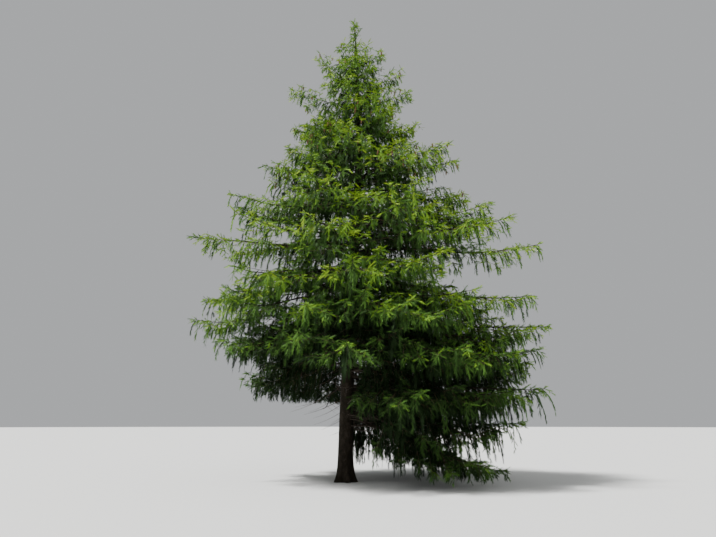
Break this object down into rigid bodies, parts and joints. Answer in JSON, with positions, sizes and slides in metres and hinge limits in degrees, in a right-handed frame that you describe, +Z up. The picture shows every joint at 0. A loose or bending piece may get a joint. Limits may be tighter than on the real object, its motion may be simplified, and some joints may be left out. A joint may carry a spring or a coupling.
{
  "type": "norway spruce",
  "caption": "Whole open-grown conical spruce: tapering trunk with a slight lean and root flare, tiers of long boughs, flat sprays and curtains of hanging twigs down to the ground on one side.",
  "frame": {"origin": "middle of the flat cut under the trunk, at ground level", "axes": "+Z up the trunk, +X to the tree's right as seen from its front, +Y from its front to its back"},
  "size_m": [10.7341, 8.9256, 14.9623],
  "materials": {
    "bark": "rough, scaly, dark red-brown bark",
    "needles": "satin green needles, from deep green in the shade to yellow-green at the tips"
  },
  "bodies": {
    "root": {"trunk": "bark", "bough_02a": "bark", "bough_02b": "bark", "bough_02c": "bark", "bough_02d": "bark", "bough_02e": "bark", "bough_03a": "bark", "bough_03b": "bark", "foliage_01a": "needles", "foliage_01b": "needles", "foliage_01c": "needles", "foliage_01d": "needles", "foliage_02a": "needles", "foliage_02b": "needles", "foliage_02c": "needles", "foliage_02d": "needles", "foliage_02e": "needles", "foliage_03a": "needles", "foliage_03b": "needles", "foliage_03c": "needles", "foliage_03d": "needles", "foliage_03e": "needles", "foliage_04a": "needles", "foliage_04b": "needles", "foliage_04c": "needles", "foliage_04d": "needles", "foliage_05a": "needles", "foliage_05b": "needles", "foliage_05c": "needles", "foliage_05d": "needles", "foliage_05e": "needles", "foliage_06a": "needles", "foliage_06b": "needles", "foliage_06c": "needles", "foliage_06d": "needles", "foliage_06e": "needles", "foliage_07a": "needles", "foliage_07b": "needles", "foliage_07c": "needles", "foliage_07d": "needles", "foliage_08a": "needles", "foliage_08b": "needles", "foliage_08c": "needles", "foliage_08d": "needles", "foliage_09a": "needles", "foliage_09b": "needles", "foliage_09c": "needles", "foliage_10a": "needles", "foliage_10b": "needles", "foliage_10c": "needles", "foliage_11a": "needles", "foliage_11b": "needles", "foliage_11c": "needles", "foliage_12a": "needles", "foliage_12b": "needles", "foliage_12c": "needles", "foliage_13a": "needles", "foliage_13b": "needles", "foliage_leader": "needles"}
  },
  "joints": []
}
